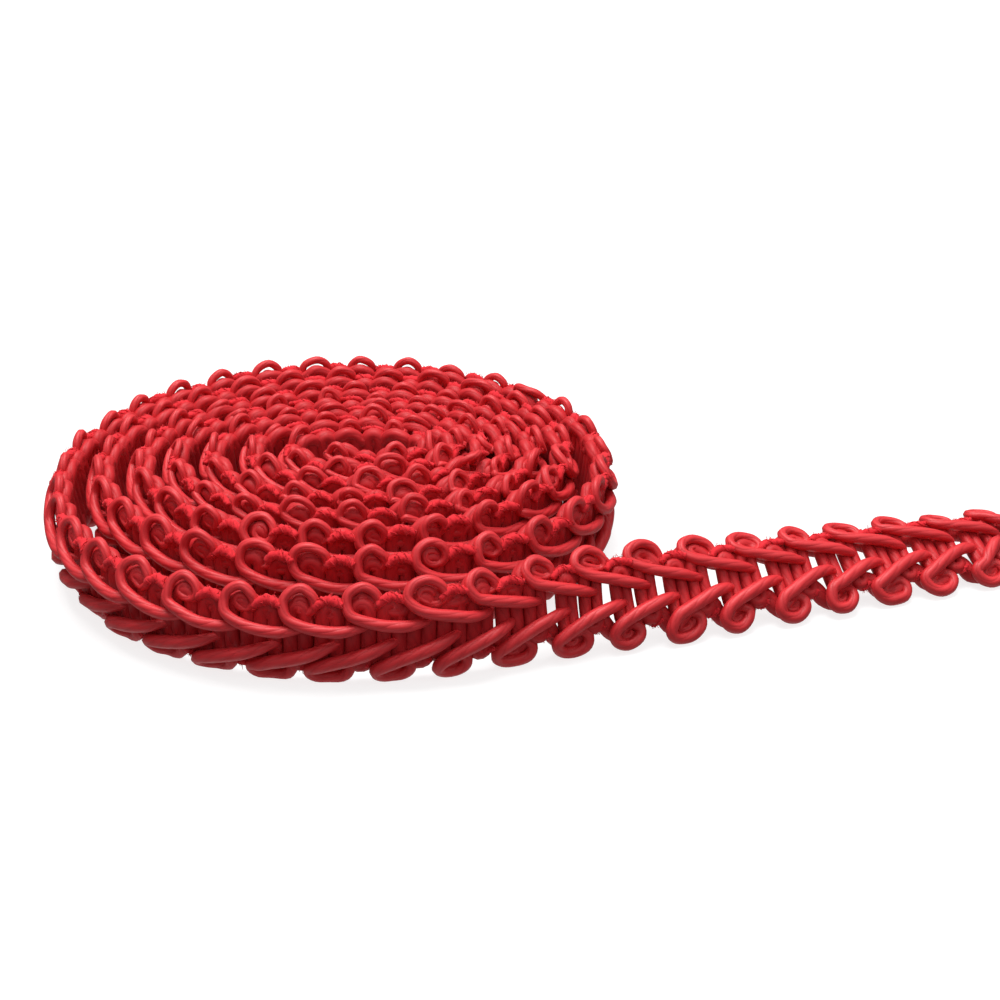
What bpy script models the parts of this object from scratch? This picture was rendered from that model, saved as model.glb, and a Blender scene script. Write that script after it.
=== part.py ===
# A length of gimp braid wound on its edge into a flat coil, with its loose end drawn out to the right.
# Metres, +Z up. The coil stands on the braid's lower edge at z = 0, and the loose end leaves it at the
# front and runs towards +X. Seen from above the braid winds outwards anticlockwise.
import math

import bpy
import numpy as np

# Driving sizes of the braid
BRAID_WIDTH = 0.0130          # loop tip to loop tip, along the braid's curved face
BRAID_THICKNESS = 0.0030      # at the crossing arms, the thickest part
LOOP_THICKNESS = 0.0022       # at the loops along each edge
LOOP_PITCH = 0.0070           # one loop to the next along an edge
UPPER_PHASE = 0.5             # the upper loops stand half a pitch on from the lower ones
NOTCH_DEPTH = 0.0016          # how far the edge falls back between two loops
NOTCH_STEEPNESS = 0.9         # over 0.5 leaves the loops' tips and the notches' floors level
LOOP_UNEVENNESS = 0.0003      # how far single top loops fall short of the width
ARM_RELIEF = 0.00035          # how far the slanting arms stand out of the face
ARM_ROW = 0.23                # where the rows of arms run, as a share of the width from the middle
EDGE_TAPER = 0.0007           # how far the upper loops' corners lie below their crowns

# Driving sizes of the coil
ROLL_RADIUS = 0.0360          # outer face of the coil
END_ANGLE = math.radians(-75)  # where the loose end leaves the coil, seen from its middle
PART_GAP = 0.0003             # between the coil and the loose end
STEPS_PER_ROW = 120           # samples of the middle line between two rows of the tables below
ROLL_STATIONS = 4             # sections for each loop along the coil
LOOSE_STATIONS = 8            # sections for each loop along the loose end

# The coil's shape, a row for each turn and closer rows in the last three: the turn, half the width and
# half the depth of the oval that its outer face follows there and the oval's middle, all as shares of
# ROLL_RADIUS, how far the braid leans back from upright, and how far its face turns from the lower to the
# upper edge, bulging outwards. The eye lies right of and behind the coil's middle, so the turns lie closer
# at the back and right than at the front, where the roll has sprung open. The first row only gives the
# curve its direction.
TURN_COLUMNS = ("turn", "half_width", "half_depth", "centre_x", "centre_y", "lean_deg", "arch_deg")
TURNS = (
    (0.00, 0.150, 0.090, 0.155, 0.155, 0, 15),
    (0.70, 0.208, 0.132, 0.140, 0.150, 0, 20),
    (1.00, 0.246, 0.154, 0.135, 0.147, 0, 22),
    (2.00, 0.366, 0.246, 0.113, 0.139, -1, 30),
    (3.00, 0.486, 0.363, 0.090, 0.136, -2, 36),
    (4.00, 0.603, 0.470, 0.068, 0.125, -3, 42),
    (5.00, 0.713, 0.591, 0.053, 0.116, -4, 48),
    (5.50, 0.768, 0.658, 0.048, 0.109, -4, 50),
    (6.00, 0.820, 0.728, 0.043, 0.101, -5, 52),
    (6.25, 0.858, 0.778, 0.041, 0.098, -5, 50),
    (6.50, 0.880, 0.797, 0.038, 0.095, -6, 48),
    (6.75, 0.922, 0.838, 0.035, 0.082, -5, 53),
    (7.00, 0.948, 0.892, 0.033, 0.065, -4, 58),
    (7.12, 1.010, 0.980, 0.028, 0.050, -5, 52),
    (7.25, 1.006, 0.985, 0.020, 0.035, -7, 46),
    (7.50, 0.990, 0.990, 0.010, 0.015, -8, 40),
    (7.75, 1.015, 1.015, 0.000, 0.005, -6, 60),
    (7.92, 1.070, 1.070, 0.000, 0.000, -2, 85),
    (8.00, 1.115, 1.115, 0.000, 0.000, 3, 75),
)

# The loose end, a row for each place along it: where the foot of its outer face stands on the floor, and
# its lean and arch. It starts on edge like the coil and twists until it nearly lies down.
LOOSE_COLUMNS = ("foot_x", "foot_y", "lean_deg", "arch_deg")
LOOSE = (
    (0.0173, -0.0357, 6, 60),
    (0.0237, -0.0342, 13, 47),
    (0.0306, -0.0327, 23, 34),
    (0.0375, -0.0311, 31, 28),
    (0.0444, -0.0292, 38, 30),
    (0.0513, -0.0270, 45, 37),
    (0.0582, -0.0245, 51, 45),
    (0.0651, -0.0221, 56, 52),
    (0.0720, -0.0197, 61, 56),
    (0.0789, -0.0173, 65, 60),
    (0.0860, -0.0148, 68, 62),
    (0.0945, -0.0116, 70, 64),
)

TRIM_RED = (0.62, 0.035, 0.045, 1.0)


def coil_line():
    """The coil from its eye to where the loose end leaves it: x and y of its middle line, lean, arch."""
    beyond = 2 * np.array(TURNS[-1]) - np.array(TURNS[-2])
    rows = smooth_line(np.vstack([TURNS, beyond]), STEPS_PER_ROW)
    column = dict(zip(TURN_COLUMNS, rows.T))
    angle = END_ANGLE + 2 * math.pi * (column["turn"] - column["turn"][-1])
    half_width = column["half_width"] * ROLL_RADIUS - BRAID_THICKNESS / 2
    half_depth = column["half_depth"] * ROLL_RADIUS - BRAID_THICKNESS / 2
    x = column["centre_x"] * ROLL_RADIUS + half_width * np.cos(angle)
    y = column["centre_y"] * ROLL_RADIUS + half_depth * np.sin(angle)
    return np.stack([x, y, np.radians(column["lean_deg"]), np.radians(column["arch_deg"])], axis=1)


def smooth_line(points, steps):
    """Catmull-Rom curve through the points, from the second one to the last but one."""
    pieces = []
    share = np.linspace(0, 1, steps, endpoint=False)[:, None]
    for before, start, end, after in zip(points, points[1:], points[2:], points[3:]):
        pieces.append(0.5 * (2 * start + (end - before) * share
                             + (2 * before - 5 * start + 4 * end - after) * share ** 2
                             + (3 * start - before - 3 * end + after) * share ** 3))
    return np.concatenate(pieces + [points[-2][None, :]])


def loose_line(coil):
    """The loose end as the coil is given, starting where the coil's line stops."""
    column = dict(zip(LOOSE_COLUMNS, np.array(LOOSE).T))
    foot = np.stack([column["foot_x"], column["foot_y"]], axis=1)
    lean, arch = np.radians(column["lean_deg"]), np.radians(column["arch_deg"])
    ahead = np.gradient(foot, axis=0)
    ahead /= np.linalg.norm(ahead, axis=1)[:, None]
    inward = np.stack([-ahead[:, 1], ahead[:, 0]], axis=1)
    foot_out = on_section(-BRAID_WIDTH / 2, LOOP_THICKNESS / 2, lean, arch)[0]
    middle = foot + inward * foot_out[:, None]
    along = lengths(coil)
    start = coil[-1]
    before = along[-1] - np.linalg.norm(middle[0] - start[:2])
    back = [np.interp(before, along, values) for values in coil.T]
    rows = np.column_stack([middle, lean, arch])
    return smooth_line(np.vstack([back, start, rows, 2 * rows[-1] - rows[-2]]), STEPS_PER_ROW)


def on_section(height, depth, lean, arch):
    """Where a point of the braid's section lies: how far outwards and how far up from its middle. The
    section follows an arc, so its face turns by the arch over the width."""
    turned = lean + arch * height / BRAID_WIDTH
    radius = BRAID_WIDTH / arch
    outwards = radius * (np.cos(turned) - np.cos(lean)) + depth * np.cos(turned)
    upwards = radius * (np.sin(turned) - np.sin(lean)) + depth * np.sin(turned)
    return outwards, upwards


def lengths(points):
    """Distance along a line at each of its points."""
    return np.concatenate([[0.0], np.cumsum(np.linalg.norm(np.diff(points[:, :2], axis=0), axis=1))])


def braid_line():
    """The whole braid, and the distance along it from where the coil ends."""
    coil = coil_line()
    line = np.vstack([coil, loose_line(coil)[1:]])
    return line, lengths(line) - lengths(coil)[-1]


def edge_height(along, phase, unevenness):
    """Half width at an edge: full at a loop, less a notch between two loops."""
    turn = along / LOOP_PITCH - phase
    notch = NOTCH_DEPTH * np.clip(0.5 - NOTCH_STEEPNESS * np.cos(2 * math.pi * turn), 0, 1)
    return BRAID_WIDTH / 2 - notch - unevenness


def section(along, shortfall):
    """The braid's outline at each place: heights and depths of nine points, outer face first."""
    top = edge_height(along, UPPER_PHASE, shortfall)
    bottom = -edge_height(along, 0, 0)
    row = np.full_like(along, ARM_ROW * BRAID_WIDTH)
    face = BRAID_THICKNESS / 2 - ARM_RELIEF / 2
    wave = ARM_RELIEF / 2 * np.cos(2 * math.pi * along / LOOP_PITCH)
    edge = np.full_like(along, LOOP_THICKNESS / 2)
    inner = np.full_like(along, BRAID_THICKNESS / 2)
    corner = top - EDGE_TAPER
    heights = np.stack([bottom, -row, row, corner, top, corner, row, -row, bottom], axis=1)
    depths = np.stack([edge, face - wave, face + wave, edge, 0 * edge, -edge, -inner, -inner, -edge], axis=1)
    return heights, depths


def section_places(start, end, step):
    """Distances of the sections: both ends, and between them each half step off a whole one, so that
    two sections stand at the tip of every loop and leave it flat."""
    places = (np.arange(math.ceil(start / step), math.floor(end / step)) + 0.5) * step
    inside = (places > start + step / 3) & (places < end - step / 3)
    return np.concatenate([[start], places[inside], [end]])


def strip(name, start, end, stations, generator):
    """A closed solid of the braid from one distance along it to another."""
    line, along = braid_line()
    cut = section_places(start, end, LOOP_PITCH / stations)
    x, y, lean, arch = (np.interp(cut, along, values) for values in line.T)
    ahead = np.stack([np.gradient(x, cut), np.gradient(y, cut)], axis=1)
    ahead /= np.linalg.norm(ahead, axis=1)[:, None]

    loops = np.floor(cut / LOOP_PITCH).astype(int)
    drawn = generator.uniform(0, LOOP_UNEVENNESS, loops.max() - loops.min() + 1)
    heights, depths = section(cut, drawn[loops - loops.min()])
    outwards, upwards = on_section(heights, depths, lean[:, None], arch[:, None])
    upwards[:, [0, -1]] = on_section(heights[:, :1], 0, lean[:, None], arch[:, None])[1]
    upwards -= on_section(-BRAID_WIDTH / 2, 0, lean, arch)[1][:, None]
    places = np.stack([x[:, None] + ahead[:, 1:] * outwards, y[:, None] - ahead[:, :1] * outwards, upwards],
                      axis=2)

    rings, around = heights.shape
    index = np.arange(rings * around).reshape(rings, around)
    faces = []
    for ring in range(rings - 1):
        for point in range(around):
            after = (point + 1) % around
            near, far = index[ring], index[ring + 1]
            faces.append((near[point], far[point], far[after], near[after]))
    faces.append(tuple(index[0]))
    faces.append(tuple(index[-1][::-1]))
    mesh = bpy.data.meshes.new(name)
    mesh.from_pydata(places.reshape(-1, 3).tolist(), [], [tuple(int(i) for i in face) for face in faces])
    mesh.shade_smooth()
    braid = bpy.data.objects.new(name, mesh)
    bpy.context.collection.objects.link(braid)
    return braid


def trim_material():
    """Satin red gimp cord."""
    material = bpy.data.materials.new("gimp_cord_red")
    material.use_nodes = True
    surface = material.node_tree.nodes["Principled BSDF"]
    surface.inputs["Base Color"].default_value = TRIM_RED
    surface.inputs["Roughness"].default_value = 0.55
    surface.inputs["Metallic"].default_value = 0.0
    return material


def centre_on_origin(pieces):
    """Moves the pieces together, so that the middle of their common footprint is at the origin."""
    corners = np.array([vertex.co[:2] for piece in pieces for vertex in piece.data.vertices])
    middle = (corners.min(axis=0) + corners.max(axis=0)) / 2
    for piece in pieces:
        for vertex in piece.data.vertices:
            vertex.co.x -= middle[0]
            vertex.co.y -= middle[1]


def main():
    for item in list(bpy.data.objects):
        bpy.data.objects.remove(item)
    along = braid_line()[1]
    red = trim_material()
    pieces = [
        strip("wound_roll", along[0], 0.0, ROLL_STATIONS, np.random.default_rng(7)),
        strip("loose_end", PART_GAP, along[-1], LOOSE_STATIONS, np.random.default_rng(8)),
    ]
    for piece in pieces:
        piece.data.materials.append(red)
    centre_on_origin(pieces)


main()
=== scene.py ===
# Red gimp braid: a looped cord trim wound on its edge into a flat coil, with its loose end drawn out.
import math

import bpy
import numpy as np
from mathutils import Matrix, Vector


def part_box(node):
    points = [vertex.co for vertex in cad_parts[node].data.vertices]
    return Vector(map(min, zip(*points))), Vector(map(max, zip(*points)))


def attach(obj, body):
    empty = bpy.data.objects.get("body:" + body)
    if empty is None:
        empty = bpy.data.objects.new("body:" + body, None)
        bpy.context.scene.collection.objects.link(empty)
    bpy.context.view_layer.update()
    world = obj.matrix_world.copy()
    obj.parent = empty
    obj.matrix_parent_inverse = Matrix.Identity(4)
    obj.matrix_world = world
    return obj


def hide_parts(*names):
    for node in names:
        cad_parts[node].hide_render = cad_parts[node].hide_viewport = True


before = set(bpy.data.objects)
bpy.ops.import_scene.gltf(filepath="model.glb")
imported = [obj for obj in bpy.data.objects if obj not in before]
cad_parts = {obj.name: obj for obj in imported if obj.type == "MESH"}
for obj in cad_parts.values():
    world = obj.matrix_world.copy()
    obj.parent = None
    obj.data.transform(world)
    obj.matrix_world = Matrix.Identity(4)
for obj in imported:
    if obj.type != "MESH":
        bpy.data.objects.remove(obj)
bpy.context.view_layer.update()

mm = 0.001

# The braid as it is made. Every place on it is given along it, across its face and out of its face.
braid = {
    "width": 13.0 * mm,          # loop tip to loop tip across the curved face
    "thickness": 3.0 * mm,
    "loopThickness": 2.2 * mm,
    "loopPitch": 7.0 * mm,
    "upperPhase": 0.56,          # the upper loops stand this share of a pitch on from the lower ones
    "ribPitch": 0.28 * mm,       # one rib of the cord's wrap to the next
    "threadPitch": 0.20 * mm,    # and of the binding thread's
}
pitch = braid["loopPitch"]

# The coil, as the frame's solids were made: its outer face's radius, where it ends, and a row for each turn
# with closer rows in the last three. The sizes are shares of the radius.
coil = {
    "radius": 36.0 * mm,
    "endAngle": math.radians(-75),
    "leftReach": 36.137 * mm,    # from the coil's middle to its leftmost face
    "backReach": 36.301 * mm,    # from the coil's middle to its rearmost face
    "columns": ("turn", "halfWidth", "halfDepth", "centreX", "centreY", "leanDeg", "archDeg"),
    "rows": (
        (0.00, 0.150, 0.090, 0.155, 0.155, 0, 15),
        (0.70, 0.208, 0.132, 0.140, 0.150, 0, 20),
        (1.00, 0.246, 0.154, 0.135, 0.147, 0, 22),
        (2.00, 0.366, 0.246, 0.113, 0.139, -1, 30),
        (3.00, 0.486, 0.363, 0.090, 0.136, -2, 36),
        (4.00, 0.603, 0.470, 0.068, 0.125, -3, 42),
        (5.00, 0.713, 0.591, 0.053, 0.116, -4, 48),
        (5.50, 0.768, 0.658, 0.048, 0.109, -4, 50),
        (6.00, 0.820, 0.728, 0.043, 0.101, -5, 52),
        (6.25, 0.858, 0.778, 0.041, 0.098, -5, 50),
        (6.50, 0.880, 0.797, 0.038, 0.095, -6, 48),
        (6.75, 0.922, 0.838, 0.035, 0.082, -5, 53),
        (7.00, 0.948, 0.892, 0.033, 0.065, -4, 58),
        (7.12, 1.010, 0.980, 0.028, 0.050, -5, 52),
        (7.25, 1.006, 0.985, 0.020, 0.035, -7, 46),
        (7.50, 0.990, 0.990, 0.010, 0.015, -8, 40),
        (7.75, 1.015, 1.015, 0.000, 0.005, -6, 60),
        (7.92, 1.070, 1.070, 0.000, 0.000, -2, 85),
        (8.00, 1.115, 1.115, 0.000, 0.000, 3, 75),
    ),
}

# The loose end: where the foot of its outer face stands, seen from the coil's middle, and how it twists
looseEnd = {
    "columns": ("footX", "footY", "leanDeg", "archDeg"),
    "rows": (
        (0.0173, -0.0357, 6, 60),
        (0.0237, -0.0342, 13, 47),
        (0.0306, -0.0327, 23, 34),
        (0.0375, -0.0311, 31, 28),
        (0.0444, -0.0292, 38, 30),
        (0.0513, -0.0270, 45, 37),
        (0.0582, -0.0245, 51, 45),
        (0.0651, -0.0221, 56, 52),
        (0.0720, -0.0197, 61, 56),
        (0.0789, -0.0173, 65, 60),
        (0.0860, -0.0148, 68, 62),
        (0.0945, -0.0116, 70, 64),
    ),
}
stepsPerRow = 120                # samples of the braid's line between two rows of the tables


def smoothLine(points, steps):
    # Catmull-Rom curve through the points, from the second to the last but one, for one or many lines at
    # once: half of (2b + (c - a)s + (2a - 5b + 4c - d)s^2 + (3b - a - 3c + d)s^3) between b and c
    a, b, c, d = (points[..., k:points.shape[-2] - 3 + k, None, :] for k in range(4))
    s = np.linspace(0, 1, steps, endpoint=False)[:, None]
    curve = 0.5 * (2 * b + (c - a) * s + (2 * a - 5 * b + 4 * c - d) * s ** 2
                   + (3 * b - a - 3 * c + d) * s ** 3)
    curve = curve.reshape(points.shape[:-2] + (-1, points.shape[-1]))
    return np.concatenate([curve, points[..., -2:-1, :]], axis=-2)


def onSection(across, depth, lean, arch):
    # The section is an arc that turns by arch over the width: how far outwards and how far up a point
    # lies from the section's middle
    turned = lean + arch * across / braid["width"]
    radius = braid["width"] / arch
    outwards = radius * (np.cos(turned) - np.cos(lean)) + depth * np.cos(turned)
    upwards = radius * (np.sin(turned) - np.sin(lean)) + depth * np.sin(turned)
    return outwards, upwards, turned


def lengths(points):
    # Distance along a line: the running sum of its steps
    return np.concatenate([[0.0], np.cumsum(np.linalg.norm(np.diff(points[:, :2], axis=0), axis=1))])


def coilLine():
    # A widening oval: middle + half size times (cos, sin) of an angle that grows by a whole circle a turn
    rows = np.array(coil["rows"])
    rows = smoothLine(np.vstack([rows, 2 * rows[-1] - rows[-2]]), stepsPerRow)
    column = dict(zip(coil["columns"], rows.T))
    angle = coil["endAngle"] + 2 * math.pi * (column["turn"] - column["turn"][-1])
    halfWidth = column["halfWidth"] * coil["radius"] - braid["thickness"] / 2
    halfDepth = column["halfDepth"] * coil["radius"] - braid["thickness"] / 2
    x = column["centreX"] * coil["radius"] + halfWidth * np.cos(angle)
    y = column["centreY"] * coil["radius"] + halfDepth * np.sin(angle)
    return np.stack([x, y, np.radians(column["leanDeg"]), np.radians(column["archDeg"])], axis=1)


def looseLine(coilPart):
    # The smooth line through the rows' middles, each set inwards from its foot by half the leaning section
    column = dict(zip(looseEnd["columns"], np.array(looseEnd["rows"]).T))
    foot = np.stack([column["footX"], column["footY"]], axis=1)
    lean, arch = np.radians(column["leanDeg"]), np.radians(column["archDeg"])
    ahead = np.gradient(foot, axis=0)
    ahead /= np.linalg.norm(ahead, axis=1)[:, None]
    inward = np.stack([-ahead[:, 1], ahead[:, 0]], axis=1)
    footOut = onSection(-braid["width"] / 2, braid["loopThickness"] / 2, lean, arch)[0]
    middle = foot + inward * footOut[:, None]
    along = lengths(coilPart)
    start = coilPart[-1]
    before = along[-1] - np.linalg.norm(middle[0] - start[:2])
    back = [np.interp(before, along, values) for values in coilPart.T]
    rows = np.column_stack([middle, lean, arch])
    return smoothLine(np.vstack([back, start, rows, 2 * rows[-1] - rows[-2]]), stepsPerRow)


# The braid's whole line in the frame: along is 0 where the loose end leaves the coil
rollLow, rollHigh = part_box("wound_roll")
coilMiddle = Vector((rollLow.x + coil["leftReach"], rollHigh.y - coil["backReach"], 0))
coilPart = coilLine()
line = np.vstack([coilPart, looseLine(coilPart)[1:]])
line[:, :2] += coilMiddle[:2]
lineAlong = lengths(line) - lengths(coilPart)[-1]
lineAhead = np.stack([np.gradient(line[:, 0], lineAlong), np.gradient(line[:, 1], lineAlong)], axis=1)
print("braid's length, metres:", round(float(lineAlong[-1] - lineAlong[0]), 3))


def onBraid(local):
    # Places given along, across and out of the braid's face, and the way that the face points there
    along, across, depth = local[..., 0], local[..., 1], local[..., 2]
    x, y, lean, arch = (np.interp(along, lineAlong, values) for values in line.T)
    aheadX, aheadY = (np.interp(along, lineAlong, values) for values in lineAhead.T)
    size = np.hypot(aheadX, aheadY)
    aheadX, aheadY = aheadX / size, aheadY / size
    over = along - np.clip(along, lineAlong[0], lineAlong[-1])
    outwards, upwards, turned = onSection(across, depth, lean, arch)
    upwards = upwards - onSection(-braid["width"] / 2, 0, lean, arch)[1]
    places = np.stack([x + aheadX * over + aheadY * outwards, y + aheadY * over - aheadX * outwards, upwards],
                      axis=-1)
    facing = np.stack([aheadY * np.cos(turned), -aheadX * np.cos(turned), np.sin(turned)], axis=-1)
    return places, facing


def restOnFloor(places, radius):
    # What would sink below the floor is eased up until it only touches: a soft maximum of z and radius
    softness = 0.12 * mm
    farOff = 50                  # softnesses from the floor, where the two maxima agree
    above = (places[..., 2] - radius) / softness
    eased = radius + softness * np.logaddexp(0, np.clip(above, -farOff, farOff))
    places[..., 2] = np.where(above < farOff, eased, places[..., 2])
    return places


def tubes(name, places, facing, radius, sides, ribPitch, closed=False, lumps=1.0):
    # Round cords along many lines at once: each line's points are circled by radius times (cos, sin) in
    # the plane across the line, whose first axis leans towards the way that the braid faces. Lumps, if
    # given, scale the radius of each single point.
    strands, count = places.shape[:2]
    if closed:
        ahead = np.roll(places, -1, axis=1) - np.roll(places, 1, axis=1)
    else:
        ahead = np.gradient(places, axis=1)
    ahead /= np.linalg.norm(ahead, axis=-1, keepdims=True)
    first = facing - ahead * np.sum(facing * ahead, axis=-1, keepdims=True)
    first /= np.linalg.norm(first, axis=-1, keepdims=True)
    second = np.cross(ahead, first)
    turn = np.linspace(0, 2 * math.pi, sides, endpoint=False)
    ring = np.cos(turn)[:, None] * first[:, :, None, :] + np.sin(turn)[:, None] * second[:, :, None, :]
    radius = np.broadcast_to(radius, (strands, count))[:, :, None] * lumps
    points = places[:, :, None, :] + ring * np.broadcast_to(radius, (strands, count, sides))[..., None]

    index = np.arange(strands * count * sides).reshape(strands, count, sides)
    near, far = (index, np.roll(index, -1, axis=1)) if closed else (index[:, :-1], index[:, 1:])
    quads = np.stack([near, np.roll(near, -1, axis=2), np.roll(far, -1, axis=2), far], axis=-1).reshape(-1, 4)
    faces = quads.tolist()
    if not closed:
        faces += index[:, 0, ::-1].tolist() + index[:, -1].tolist()
    mesh = bpy.data.meshes.new(name)
    mesh.from_pydata(points.reshape(-1, 3).tolist(), [], faces)

    # The wrap's own coordinates: ribs counted along the cord, and the share of the way round it
    steps = np.linalg.norm(np.diff(places, axis=1, append=places[:, :1]), axis=-1)
    run = np.concatenate([np.zeros((strands, 1)), np.cumsum(steps, axis=1)], axis=1) / ribPitch
    rings = count if closed else count - 1
    start, end = run[:, :rings, None], run[:, 1:rings + 1, None]
    if closed:
        whole = np.round(run[:, -1:, None])
        start, end = start * whole / run[:, -1:, None], end * whole / run[:, -1:, None]
    here = np.broadcast_to(np.arange(sides) / sides, (strands, rings, sides))
    start, end = np.broadcast_to(start, here.shape), np.broadcast_to(end, here.shape)
    there = here + 1 / sides
    corners = np.stack([start, here, start, there, end, there, end, here], axis=-1).reshape(-1)
    caps = len(mesh.loops) * 2 - len(corners)
    layer = mesh.uv_layers.new(name="wrap")
    layer.data.foreach_set("uv", np.concatenate([corners, np.zeros(caps)]).astype(np.float32))
    mesh.shade_smooth()
    piece = bpy.data.objects.new(name, mesh)
    bpy.context.scene.collection.objects.link(piece)
    print(name, "triangles", len(quads) * 2 + (0 if closed else strands * 2 * (sides - 2)))
    return piece


# The scroll that each loop is laid in, counted from the loop's middle, in millimetres. The cord starts
# behind the loop's middle, curls round inside it, runs out at its right foot, over the top and down the left
# side, and goes off to the right as a long arm that dives behind the face. Across has four columns: an upper
# and a lower loop's in the coil, and both where the braid is drawn out straight.
scroll = {
    "steps": 4,
    "sides": 8,
    "columns": ("along", "upper", "lower", "drawnUpper", "drawnLower", "depth", "upperRadius", "lowerRadius"),
    "points": (
        (0.15, 3.70, 4.10, 3.95, 4.00, -0.95, 0.43, 0.48),
        (0.74, 4.05, 4.25, 4.25, 4.25, -0.50, 0.45, 0.50),
        (0.42, 4.68, 4.58, 4.88, 4.78, -0.24, 0.47, 0.52),
        (-0.34, 4.70, 4.58, 4.88, 4.78, -0.14, 0.48, 0.53),
        (-0.62, 4.02, 4.25, 4.35, 4.30, -0.12, 0.49, 0.54),
        (0.05, 3.34, 3.55, 3.80, 3.60, -0.18, 0.50, 0.58),
        (1.10, 3.22, 3.10, 3.50, 3.20, -0.20, 0.52, 0.64),
        (1.82, 4.00, 3.80, 4.05, 4.00, 0.00, 0.55, 0.69),
        (1.44, 5.15, 4.86, 5.16, 5.10, 0.20, 0.57, 0.72),
        (0.05, 5.93, 5.66, 5.90, 5.74, 0.34, 0.58, 0.74),
        (-1.34, 5.30, 4.98, 5.30, 5.25, 0.50, 0.58, 0.74),
        (-1.80, 4.05, 4.05, 4.20, 4.25, 0.72, 0.59, 0.75),
        (-1.20, 2.82, 3.15, 3.20, 3.25, 0.95, 0.63, 0.77),
        (0.40, 2.05, 2.55, 2.60, 2.55, 1.04, 0.67, 0.79),
        (2.50, 1.50, 2.00, 2.02, 1.80, 1.05, 0.71, 0.80),
        (4.60, 1.32, 1.45, 1.48, 1.20, 0.98, 0.71, 0.78),
        (6.20, 1.35, 1.05, 1.15, 0.90, 0.60, 0.63, 0.70),
        (7.35, 1.55, 0.85, 0.98, 0.80, 0.05, 0.50, 0.56),
        (8.05, 1.90, 1.20, 1.10, 1.05, -0.70, 0.42, 0.48),
    ),
    "loopPoints": 12,            # the first of them, which shape the loop itself
    "middle": 4.2 * mm,          # across, the loop's own middle
    "lowerSpread": 1.28,         # the lower loops in the coil are pressed this much wider
    "drawnSpread": 1.08,         # and all the loops where the braid is drawn out
    "drawnFrom": -10.0 * mm,     # along: where the braid begins to be drawn out, and where it is
    "drawnTo": 14.0 * mm,
    "wildFrom": -330.0 * mm,     # along: where the inner turns' loops begin to be more uneven, and where
    "wildTo": -650.0 * mm,       # they are
    "wild": 2.2,                 # how much more uneven
    "innerThin": 0.20,           # there the cord is this share thinner,
    "innerNarrow": 0.20,         # the loops are this share narrower
    "innerRise": 1.10 * mm,      # and the arms lie this much nearer to the edge
    "lastArm": 0.42,             # share of its length that the last arm keeps
    "drawnArm": 0.92,            # and every arm where the braid is drawn out
    "unevenSize": 0.14,
    "unevenTurn": 0.12,
    "unevenLean": 0.13,
    "unevenPlace": 0.10 * mm,    # of each point along the braid,
    "unevenAcross": 0.06 * mm,   # and across it
    "unevenShift": 0.30 * mm,    # of a whole loop
    "unevenDepth": 0.20 * mm,
    "wildRight": (6.0 * mm, 24.0 * mm),    # right of the coil's middle: where its loops grow uneven too
    "wildRightMore": 0.9,
}


firstLoop = math.ceil(lineAlong[0] / pitch)
lastLoop = math.floor(lineAlong[-1] / pitch) - 1


def easedShare(values, start, stop):
    # How far the values are from start to stop: 3t^2 - 2t^3
    share = np.clip((values - start) / (stop - start), 0, 1)
    return share * share * (3 - 2 * share)


def between(pair, share):
    # From the first of the pair to the second: first + (second - first) times the share
    return pair[0] + (pair[1] - pair[0]) * share


def rowOfLoops(table, upper):
    # One row's loops: where their middles are along the braid, how far the braid is drawn out there, and the
    # table's columns by name, with the one for that row's places across the braid as it is there
    place = (np.arange(firstLoop, lastLoop + 1)[:, None] + (braid["upperPhase"] if upper else 0.0)) * pitch
    share = easedShare(place, scroll["drawnFrom"], scroll["drawnTo"])
    column = dict(zip(table["columns"], np.array(table["points"]).T * mm))
    wound, drawn = ("upper", "drawnUpper") if upper else ("lower", "drawnLower")
    return place, share, column, between((column[wound], column[drawn]), share)


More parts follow.
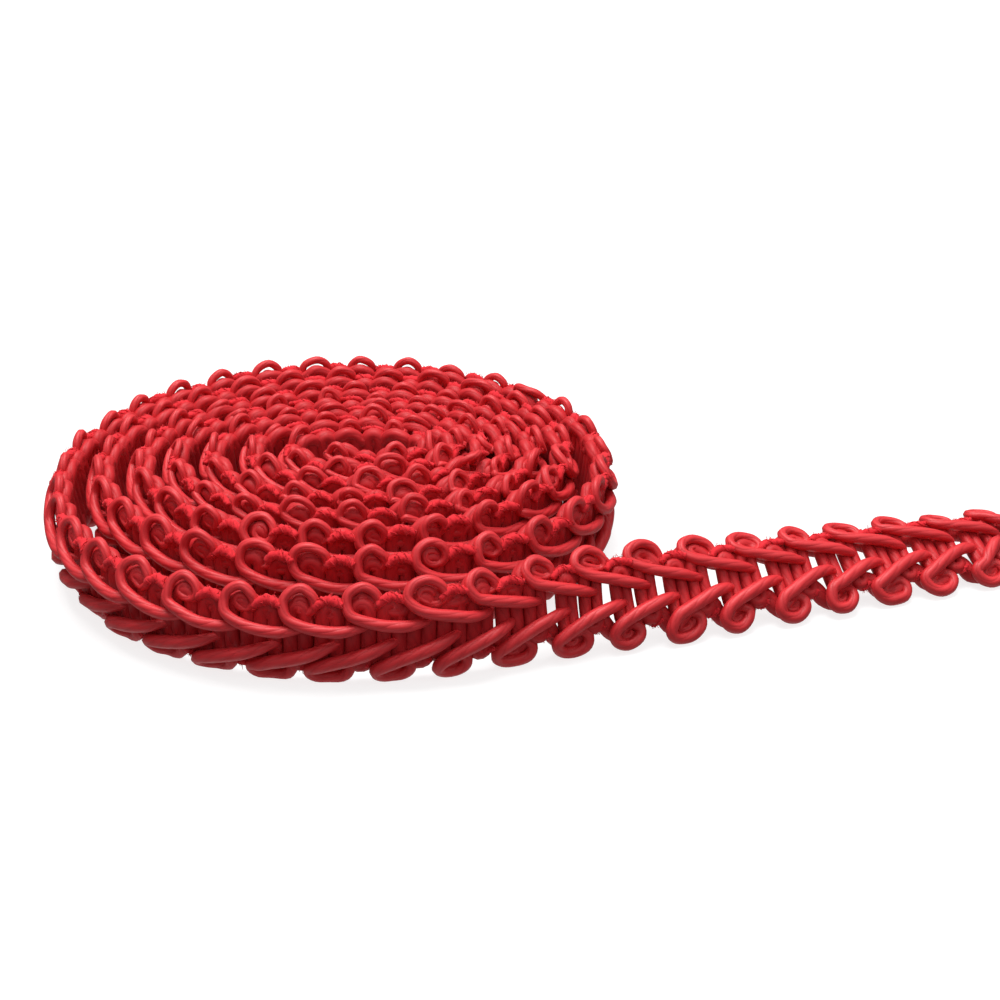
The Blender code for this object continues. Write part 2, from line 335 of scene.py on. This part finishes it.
def scrollCord(upper, generator):
    # One row's whole cord, as along, across, depth and radius: the scroll's points repeated a pitch apart.
    # Each loop is turned and scaled a little about its middle and leans in or out.
    place, share, column, across = rowOfLoops(scroll, upper)
    inner = easedShare(place, scroll["wildFrom"], scroll["wildTo"])
    wild = between((1, scroll["wild"]), inner)
    right = np.interp(place, lineAlong, line[:, 0]) - coilMiddle.x
    wild = wild + scroll["wildRightMore"] * easedShare(right, *scroll["wildRight"]) * (1 - share)
    shape = across.shape
    inLoop = np.arange(shape[1]) < scroll["loopPoints"]
    spread = between((1.0 if upper else scroll["lowerSpread"], scroll["drawnSpread"]), share)
    size = 1 + generator.uniform(-1, 1, (shape[0], 1)) * scroll["unevenSize"] * wild
    turn = generator.normal(0, scroll["unevenTurn"], (shape[0], 1)) * wild
    offAlong = column["along"] * spread * size * (1 - scroll["innerNarrow"] * inner)
    offAcross = (across - scroll["middle"]) * size
    turnedAlong = offAlong * np.cos(turn) - offAcross * np.sin(turn)
    turnedAcross = scroll["middle"] + offAlong * np.sin(turn) + offAcross * np.cos(turn)
    reach = between((1, scroll["drawnArm"]), share)
    reach[-1] = scroll["lastArm"]
    along = np.where(inLoop, turnedAlong, column["along"] * reach)
    across = np.where(inLoop, turnedAcross, across + scroll["innerRise"] * inner)
    lean = generator.normal(0, scroll["unevenLean"], (shape[0], 1)) * wild
    depth = column["depth"] + np.where(inLoop, lean * (across - scroll["middle"]), 0)
    depth = depth + generator.uniform(-1, 1, (shape[0], 1)) * scroll["unevenDepth"]
    along = along + generator.uniform(-1, 1, shape) * scroll["unevenPlace"]
    across = across + generator.uniform(-1, 1, shape) * scroll["unevenAcross"]
    along = along + place + generator.uniform(-1, 1, (shape[0], 1)) * scroll["unevenShift"] * wild
    radius = column["upperRadius" if upper else "lowerRadius"] * (1 - scroll["innerThin"] * inner)
    across = np.minimum(across, braid["width"] / 2 - radius)
    across = across if upper else -across
    return np.stack([along, across, depth, radius], axis=-1).reshape(1, -1, 4)


def laidCord(points, steps):
    # The smooth line through the points, set on the braid and on the floor, with its radius
    curve = smoothLine(points, steps)
    places, facing = onBraid(curve)
    return restOnFloor(places, curve[..., 3]), facing, curve[..., 3]


def alongStretch(rows, table, first, last):
    # The rows' cords over a stretch, from its first loop to the one after its last. A point in line with the
    # others stands before and after each whole cord.
    start, stop = ((loop - firstLoop) * len(table["points"]) for loop in (first, last + 1))
    strands = []
    for points in rows:
        padded = np.concatenate([2 * points[:, :1] - points[:, 1:2], points,
                                 2 * points[:, -1:] - points[:, -2:-1]], axis=1)
        strands.append(laidCord(padded[:, start:stop + 3], table["steps"]))
    return [np.concatenate(values) for values in zip(*strands)]


generator = np.random.default_rng(11)
scrollRows = [scrollCord(upper, generator) for upper in (True, False)]

# Each stretch of the braid and its first and last loop: the coil's inner and outer turns, and the loose end
outerFrom = -62
stretches = {
    "inner_turns": (firstLoop, outerFrom - 1),
    "outer_turns": (outerFrom, -1),
    "loose_braid": (0, lastLoop),
}


def loopedCord(name, first, last):
    places, facing, radius = alongStretch(scrollRows, scroll, first, last)
    return tubes(name, places, facing, radius, scroll["sides"], braid["ribPitch"])


# The rings of cord behind the arms, two for each loop, whose long sides are the rungs. In the coil they are
# pushed together, and where the braid is drawn out they part, so that slots open between them.
rungs = {
    "radius": (1.00 * mm, 0.78 * mm),      # in the coil, and where the braid is drawn out
    "halfSpan": (0.88 * mm, 0.66 * mm),    # between the middles of a ring's two sides, halved
    "depth": (-1.00 * mm, -0.45 * mm),
    "reach": (3.20 * mm, 2.50 * mm),       # where the sides turn over, from the braid's middle
    "openFrom": 8.0 * mm,                  # along: where the rings begin to part, and where they are
    "openTo": 21.0 * mm,
    "edgeRise": 0.30 * mm,       # how far out of the depth the turned-over ends lie
    "straightSteps": 6,
    "bendSteps": 7,
    "sides": 8,
    "pairUp": 0.23 * mm,         # how far a loop's two rings come together where the braid is drawn out
    "lean": 0.28 * mm,           # how far on the upper end lies
    "uneven": 0.09 * mm,
}


def rungRings(name, first, last, generator):
    # A racetrack: two straight sides joined by half circles, at the ring's middle + (halfSpan cos, reach +
    # halfSpan sin) of an angle. Every other ring comes back to the one before it, and so does the last.
    number = np.arange(2 * first, 2 * last + 2)[:, None]
    middles = (number / 2 + 0.5) * pitch
    share = easedShare(middles, rungs["openFrom"], rungs["openTo"])
    back = (number % 2 == 0) | (number == 2 * lastLoop + 1)
    middles = middles + np.where(back, -1, 1) * rungs["pairUp"] * share
    radius, halfSpan, depth, reach = (between(rungs[key], share)
                                      for key in ("radius", "halfSpan", "depth", "reach"))
    straight = np.linspace(-1, 1, rungs["straightSteps"], endpoint=False)
    bend = np.linspace(0, math.pi, rungs["bendSteps"], endpoint=False)
    level, turned = np.ones(len(straight)), np.ones(len(bend))
    along = np.concatenate([level, np.cos(bend), -level, -np.cos(bend)])
    ends = np.concatenate([0 * level, np.sin(bend), 0 * level, -np.sin(bend)])
    across = np.concatenate([straight, turned, -straight, -turned]) * reach + ends * halfSpan
    drift = generator.uniform(-1, 1, (4, len(middles), 1)) * rungs["uneven"]
    local = np.stack([
        middles + along * (halfSpan + drift[0]) + drift[1]
        + across / reach * (rungs["lean"] / 2 + drift[2]),
        across * (1 + drift[3] / reach),
        depth + rungs["edgeRise"] * (across / reach) ** 2,
    ], axis=-1)
    places, facing = onBraid(local)
    places = restOnFloor(places, radius)
    return tubes(name, places, facing, radius, rungs["sides"], braid["ribPitch"], closed=True)


# The cord behind the loops, which runs along each edge in scallops, shows on both sides of every loop and
# fills the braid's back. Places are counted from a loop's middle, in millimetres.
scallops = {
    "columns": ("along", "upper", "lower", "drawnUpper", "drawnLower", "depth"),
    "points": (
        (-2.10, 3.35, 3.00, 3.30, 2.70, -0.80),
        (-1.45, 4.15, 3.85, 4.40, 4.00, -0.92),
        (-0.10, 4.75, 4.65, 5.10, 4.85, -0.95),
        (1.25, 4.25, 3.90, 4.60, 4.35, -0.92),
        (2.05, 3.30, 2.95, 3.40, 2.95, -0.85),
        (3.70, 2.80, 2.60, 2.80, 2.15, -0.75),
    ),
    "radius": (0.84 * mm, 1.04 * mm),      # in the coil, and where the braid is drawn out
    "lowerSpread": 1.06,         # the lower scallops are this much wider
    "steps": 4,
    "sides": 8,
    "unevenPlace": 0.14 * mm,
    "unevenShift": 0.30 * mm,
    "unevenSize": 0.06,
}


def scallopCord(upper, generator):
    # One row's whole cord: the points repeated a pitch apart, each scallop scaled and shifted a little
    place, share, column, across = rowOfLoops(scallops, upper)
    size = 1 + generator.uniform(-1, 1, place.shape) * scallops["unevenSize"]
    along = column["along"] * size * (1.0 if upper else scallops["lowerSpread"]) + place
    along = along + generator.uniform(-1, 1, place.shape) * scallops["unevenShift"]
    radius = between(scallops["radius"], share)
    points = np.stack(np.broadcast_arrays(along, across, column["depth"], radius), axis=-1)
    points[..., :3] += generator.uniform(-1, 1, along.shape + (3,)) * scallops["unevenPlace"]
    points[..., 1] = np.minimum(points[..., 1], braid["width"] / 2 - radius) * (1 if upper else -1)
    return points.reshape(1, -1, 4)


scallopRows = [scallopCord(upper, generator) for upper in (True, False)]


def scallopedCord(name, first, last):
    places, facing, radius = alongStretch(scallopRows, scallops, first, last)
    return tubes(name, places, facing, radius, scallops["sides"], braid["ribPitch"])


# The pads of matted binding thread that bridge one loop's right foot and the next loop's left side, the
# threads wound over them and the stray fibres. Places are counted from the loop's middle, in millimetres.
pads = {
    # along, across, depth and radius
    "points": (
        (1.25, 3.10, 0.20, 0.16),
        (1.70, 3.70, 0.34, 0.38),
        (2.35, 4.28, 0.36, 0.54),
        (3.10, 4.55, 0.28, 0.60),
        (3.80, 4.50, 0.38, 0.60),
        (4.45, 4.28, 0.62, 0.52),
        (5.00, 4.00, 0.92, 0.38),
        (5.40, 3.70, 1.05, 0.18),
    ),
    "middle": 3.5 * mm,          # along, the middle of the gap between two loops
    "lowerSpread": 0.55,         # the lower pads are this much shorter,
    "lowerSize": 0.75,           # thinner,
    "lowerIn": 0.45 * mm,        # nearer to the braid's middle
    "lowerBack": 0.35 * mm,      # and further back
    "steps": 4,
    "sides": 8,
    "innerSize": 0.66,           # in the inner turns all are thinner,
    "drawnSize": 0.80,           # and where the braid is drawn out they are thinner
    "drawnIn": 0.50 * mm,        # and nearer to its middle
    "lumps": 0.24,
    "unevenPlace": 0.10 * mm,
    "threads": 2,
    "threadTurns": 1.3,
    "unevenTurns": 0.3,
    "threadRadius": 0.07 * mm,
    "threadOut": 0.6,            # of that radius, how far a thread's middle lies out of the pad
    "threadSides": 3,
    "fibres": 16,
    "fibreEnds": 2,              # samples at either end of a pad that carry none
    "fibreReach": 0.50 * mm,
    "fibreSpan": (-0.4, 1.2),    # of that reach, where its first and last point lie, which only steer it
    "fibrePoints": 5,
    "fibreSteps": 2,
    "fibreBend": 0.20,
    "fibreRoot": 0.8,            # of the pad's radius, where a fibre starts
    "fibrePull": 0.7,            # how much the fibres point out of the face and past the edge
    "fibreRadius": 0.036 * mm,
}


def padLines(first, last):
    # The pads' own lines in both rows, as along, across, depth and radius, and the side that each is on.
    # Each bridges a loop and the next, so the last loop has none.
    loops = np.arange(first, min(last + 1, lastLoop))
    shape = np.array(pads["points"]) * mm
    lines = []
    for side, phase in ((1, braid["upperPhase"]), (-1, 0.0)):
        points = np.broadcast_to(shape, (len(loops),) + shape.shape).copy()
        if side < 0:
            points[..., 0] = pads["middle"] + (points[..., 0] - pads["middle"]) * pads["lowerSpread"]
            points[..., 1] = -(points[..., 1] - pads["lowerIn"])
            points[..., 2] -= pads["lowerBack"]
            points[..., 3] *= pads["lowerSize"]
        place = (loops[:, None] + phase) * pitch
        share = easedShare(place, scroll["drawnFrom"], scroll["drawnTo"])
        points[..., 0] += place
        points[..., 1] -= side * share * pads["drawnIn"]
        points[..., 3] *= between((1, pads["drawnSize"]), share)
        inner = easedShare(place, scroll["wildFrom"], scroll["wildTo"])
        points[..., 3] *= between((1, pads["innerSize"]), inner)
        lines.append(smoothLine(points, pads["steps"]))
    return np.concatenate(lines), np.repeat([1, -1], len(loops))


def bindingPads(name, first, last, generator):
    # Each pad is a short thick cord of random lumps. Threads wind round it, at its line + its radius times
    # (cos, sin) of an angle that turns threadTurns times, and fibres run out of it at random.
    core, side = padLines(first, last)
    core[..., :3] += generator.normal(0, pads["unevenPlace"], (len(core), 1, 3))
    count = core.shape[1]
    places, facing = onBraid(core[..., :3])
    places = restOnFloor(places, core[..., 3])
    lumps = 1 + generator.uniform(-1, 1, (len(core), count, pads["sides"])) * pads["lumps"]
    ribs = braid["threadPitch"]
    made = [tubes(name + "_pads", places, facing, core[..., 3], pads["sides"], ribs, lumps=lumps)]

    start = generator.uniform(0, 2 * math.pi, (len(core), pads["threads"], 1))
    fewest, most = 1 - pads["unevenTurns"], 1 + pads["unevenTurns"]
    turns = generator.uniform(fewest, most, start.shape) * pads["threadTurns"] * 2 * math.pi
    angle = start + turns * np.linspace(0, 1, count)
    over = core[:, None, :, 3] + pads["threadRadius"] * pads["threadOut"]
    wound = np.repeat(core[:, None, :, :3], pads["threads"], axis=1)
    wound[..., 1] += over * np.cos(angle)
    wound[..., 2] += over * np.sin(angle)
    places, facing = onBraid(wound.reshape(-1, count, 3))
    places = restOnFloor(places, pads["threadRadius"])
    made.append(tubes(name + "_threads", places, facing, pads["threadRadius"], pads["threadSides"], ribs))

    pick = generator.integers(pads["fibreEnds"], count - pads["fibreEnds"], (len(core), pads["fibres"]))
    base = np.take_along_axis(core, pick[..., None], axis=1)
    out = generator.normal(0, 1, base.shape[:2] + (3,)) + np.array([0, 0, pads["fibrePull"]])
    out[..., 1] += pads["fibrePull"] * side[:, None]
    out /= np.linalg.norm(out, axis=-1, keepdims=True)
    base = base[..., :3] + out * base[..., 3:] * pads["fibreRoot"]
    count = pads["fibrePoints"]
    step = np.linspace(*pads["fibreSpan"], count)[:, None] * pads["fibreReach"]
    bend = generator.normal(0, pads["fibreBend"], base.shape[:2] + (count, 3)) * pads["fibreReach"]
    points = base[:, :, None] + out[:, :, None] * step + bend
    places, facing = onBraid(smoothLine(points.reshape(-1, count, 3), pads["fibreSteps"]))
    places = restOnFloor(places, pads["fibreRadius"])
    made.append(tubes(name + "_fibres", places, facing, pads["fibreRadius"], pads["threadSides"], ribs))
    return made


class Shade:
    # An output socket that adds, subtracts and multiplies like a number
    def __init__(self, tree, socket=None):
        self.tree = tree
        self.socket = socket

    def node(self, kind, settings=None, inputs=None, output=0):
        made = self.tree.nodes.new("ShaderNode" + kind)
        for key, value in (settings or {}).items():
            setattr(made, key, value)
        for key, value in (inputs or {}).items():
            if isinstance(value, Shade):
                self.tree.links.new(value.socket, made.inputs[key])
            else:
                made.inputs[key].default_value = value
        return Shade(self.tree, made.outputs[output])

    def maths(self, operation, first, second=0.0):
        return self.node("Math", {"operation": operation}, {0: first, 1: second})

    def __add__(self, other):
        return self.maths("ADD", self, other)

    __radd__ = __add__

    def __sub__(self, other):
        return self.maths("SUBTRACT", self, other)

    def __rsub__(self, other):
        return self.maths("SUBTRACT", other, self)

    def __mul__(self, other):
        return self.maths("MULTIPLY", self, other)

    __rmul__ = __mul__

    def __pow__(self, other):
        return self.maths("POWER", self, other)


def principled(name, constants):
    # A new material and its shader, with the values that are the same all over set on its sockets
    material = bpy.data.materials.new(name)
    material.use_nodes = True
    shader = material.node_tree.nodes["Principled BSDF"]
    for key, value in constants.items():
        shader.inputs[key].default_value = value
    return material, shader, Shade(material.node_tree)


def feed(shader, links):
    for key, value in links.items():
        value.tree.links.new(value.socket, shader.inputs[key])


def blend(share, first, second):
    # A colour from the first to the second as the share goes from 0 to 1
    return share.node("Mix", {"data_type": "RGBA"}, {0: share, 6: first, 7: second}, output=2)


gimp = {
    "lit": (0.62, 0.021, 0.027),
    # deep: the colour in the grooves between the ridges, darker than lit on their tops: painted shade
    "deep": (0.46, 0.013, 0.019),
    "bright": (0.72, 0.030, 0.037),
    "sheen": 0.05,
    "sheenTint": (1.0, 0.3, 0.3, 1),
    "specular": 0.40,
    "roughness": 0.38,
    "fineRoughness": 0.25,       # added where the fine grain is highest
    "ridges": 5.0,               # round the cord
    "ridgeLay": 0.10,            # how many of them pass for each rib of the wrap along the cord
    "ridgeWander": 1.5,          # how many of them they stray by
    "ridgeRoundness": 0.7,
    "ridgeHeight": 0.08 * mm,
    "bump": 0.6,
    "slowScale": 260.0,
    "fineScale": 2600.0,
    "fineTone": 0.3,
    "fineHeight": 0.35,
    "scallopPaintedShade": 0.85,        # painted shade: how much darker the cords behind the loops and the rungs beside the loops are made
    "rungPaintedShade": 0.84,
}


def gimpMaterial(name, shading):
    # Soft cord of parallel threads that turn slowly round it: ridges |sin(pi (ridges round + lay run + wander
    # slow noise))| on the wrap's own coordinates, to a power under 1 that rounds their tops
    # The shading factor darkens all three colours, and the specular more, for the copies behind the loops and
    # on the rungs: painted shade
    lit, deep, bright = (tuple(part * shading for part in gimp[key]) + (1,)
                         for key in ("lit", "deep", "bright"))
    material, shader, shade = principled(name, {
        "Sheen Weight": gimp["sheen"], "Sheen Roughness": 0.4, "Sheen Tint": gimp["sheenTint"],
        "Specular IOR Level": gimp["specular"] * shading ** 3})
    wrap = shade.node("SeparateXYZ", inputs={0: shade.node("UVMap", {"uv_map": "wrap"})})
    run, around = wrap, Shade(wrap.tree, wrap.socket.node.outputs[1])
    place = shade.node("TexCoord", output=3)
    slow = shade.node("TexNoise", inputs={"Vector": place, "Scale": gimp["slowScale"], "Detail": 2.0})
    fine = shade.node("TexNoise", inputs={"Vector": place, "Scale": gimp["fineScale"], "Detail": 3.0})
    turned = around * gimp["ridges"] + run * gimp["ridgeLay"] + slow * gimp["ridgeWander"]
    ridges = shade.maths("ABSOLUTE", shade.maths("SINE", turned * math.pi)) ** gimp["ridgeRoundness"]
    # Deep in the grooves between the ridges, lit on their tops: painted shade in the grooves
    mixed = blend(ridges * (1 - gimp["fineTone"]) + fine * gimp["fineTone"], deep, lit)
    tone = blend(slow ** 2.0, mixed, bright)
    height = ridges + fine * gimp["fineHeight"]
    bump = shade.node("Bump", inputs={"Strength": gimp["bump"], "Distance": gimp["ridgeHeight"],
                                      "Height": height})
    roughness = gimp["roughness"] + fine * gimp["fineRoughness"]
    feed(shader, {"Base Color": tone, "Roughness": roughness, "Normal": bump})
    return material


thread = {
    "deep": (0.50, 0.010, 0.018, 1),
    "bright": (0.82, 0.030, 0.042, 1),
    "sheen": 0.2,
    "specular": 0.2,
    "roughness": 0.7,
    "fineRoughness": 0.2,
    "fineScale": 3000.0,
    "fineHeight": 0.05 * mm,
    "bump": 0.5,
}


def threadMaterial(name):
    # Matt fuzzy thread, a brighter red than the cord
    material, shader, shade = principled(name, {
        "Sheen Weight": thread["sheen"], "Sheen Roughness": 0.5, "Sheen Tint": gimp["sheenTint"],
        "Specular IOR Level": thread["specular"]})
    place = shade.node("TexCoord", output=3)
    fine = shade.node("TexNoise", inputs={"Vector": place, "Scale": thread["fineScale"], "Detail": 3.0})
    bump = shade.node("Bump", inputs={"Strength": thread["bump"], "Distance": thread["fineHeight"],
                                      "Height": fine})
    tone = blend(fine, thread["deep"], thread["bright"])
    roughness = thread["roughness"] + fine * thread["fineRoughness"]
    feed(shader, {"Base Color": tone, "Roughness": roughness, "Normal": bump})
    return material


# The cords behind the loops and the rungs get darkened copies of the cord's colours: painted shade
cordRed = gimpMaterial("gimp_cord_red", 1.0)
scallopRedPaintedShade = gimpMaterial("gimp_cord_behind_painted_shade", gimp["scallopPaintedShade"])
rungRedPaintedShade = gimpMaterial("gimp_cord_rungs_painted_shade", gimp["rungPaintedShade"])
threadRed = threadMaterial("binding_thread_red")


def dress(piece, material):
    piece.data.materials.append(material)
    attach(piece, "root")


for name, (first, last) in stretches.items():
    loops = loopedCord(name + "_loops", first, last)
    ladder = rungRings(name + "_rungs", first, last, generator)
    behind = scallopedCord(name + "_scallops", first, last)
    threads = bindingPads(name, first, last, generator)
    dress(loops, cordRed)
    dress(ladder, rungRedPaintedShade)
    dress(behind, scallopRedPaintedShade)
    for piece in threads:
        dress(piece, threadRed)
    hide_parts("loose_end" if name == "loose_braid" else "wound_roll")
print("braid made")

# The camera stands where the picture was taken from, at about 25 degrees above the coil
camera = {
    "lens": 59.1,
    "clipStart": 10.0 * mm,
    "aimFromCoil": (22.02 * mm, 11.20 * mm, 0.0),
    "distance": 228.6 * mm,
    "elevation": math.radians(25.28),
}


def makeCamera():
    data = bpy.data.cameras.new("camera")
    data.lens = camera["lens"]
    data.clip_start = camera["clipStart"]
    aim = coilMiddle + Vector(camera["aimFromCoil"])
    back = Vector((0, -math.cos(camera["elevation"]), math.sin(camera["elevation"])))
    made = bpy.data.objects.new("camera", data)
    made.location = aim + back * camera["distance"]
    made.rotation_euler = (-back).to_track_quat("-Z", "Y").to_euler()
    bpy.context.scene.collection.objects.link(made)
    bpy.context.scene.camera = made


floorLook = {
    "half": 3.0,                 # metres from its middle to a side
    "darker": (0.25, 0.25, 0.25, 1),
    "lighter": (0.27, 0.27, 0.27, 1),
    "glow": 0.80,                # makes it white in the picture, with a faint shadow left on it
}


def makeFloor():
    # A square of pale floor under the part, far larger than the view
    half = floorLook["half"]
    corners = [(-half, -half, 0), (half, -half, 0), (half, half, 0), (-half, half, 0)]
    mesh = bpy.data.meshes.new("floor")
    mesh.from_pydata(corners, [], [(0, 1, 2, 3)])
    floor = bpy.data.objects.new("floor", mesh)
    bpy.context.scene.collection.objects.link(floor)
    material, shader, shade = principled("floor_white", {
        "Roughness": 0.9, "Specular IOR Level": 0.1,
        "Emission Color": (1, 1, 1, 1), "Emission Strength": floorLook["glow"]})
    place = shade.node("TexCoord", output=3)
    grain = shade.node("TexNoise", inputs={"Vector": place, "Scale": 3.0, "Detail": 2.0})
    feed(shader, {"Base Color": blend(grain, floorLook["darker"], floorLook["lighter"])})
    mesh.materials.append(material)
    floor.visible_diffuse = False
    floor.visible_glossy = False
    floor.visible_shadow = False


lights = {
    # name: place in metres, size, watts
    "key": ((-0.08, 0.12, 0.82), 0.50, 8.3),
    "fill": ((0.5, -0.5, 0.6), 0.5, 0.5),
}
skyLight = {
    "overhead": 0.82,
    "below": 0.60,               # in place of what the floor would throw back
    "allRound": 0.07,
}


def makeLights():
    for name, (place, size, power) in lights.items():
        data = bpy.data.lights.new(name, "AREA")
        data.size = size
        data.energy = power
        lamp = bpy.data.objects.new(name, data)
        lamp.location = place
        lamp.rotation_euler = (-Vector(place)).to_track_quat("-Z", "Y").to_euler()
        bpy.context.scene.collection.objects.link(lamp)
    # A pale sky: overhead times how far up the way that is looked points, or below times how far down, and
    # the light from all round
    world = bpy.data.worlds.new("studio")
    world.use_nodes = True
    sky = world.node_tree.nodes["Background"]
    sky.inputs["Color"].default_value = (1, 1, 1, 1)
    shade = Shade(world.node_tree)
    parts = shade.node("SeparateXYZ", inputs={0: shade.node("TexCoord", output=0)})
    height = Shade(parts.tree, parts.socket.node.outputs[2])
    above, below = shade.maths("MAXIMUM", height, 0.0), shade.maths("MAXIMUM", height * -1.0, 0.0)
    feed(sky, {"Strength": above * skyLight["overhead"] + below * skyLight["below"] + skyLight["allRound"]})
    bpy.context.scene.world = world


makeCamera()
makeFloor()
makeLights()
bpy.context.scene.view_settings.view_transform = "Standard"
print("studio made")
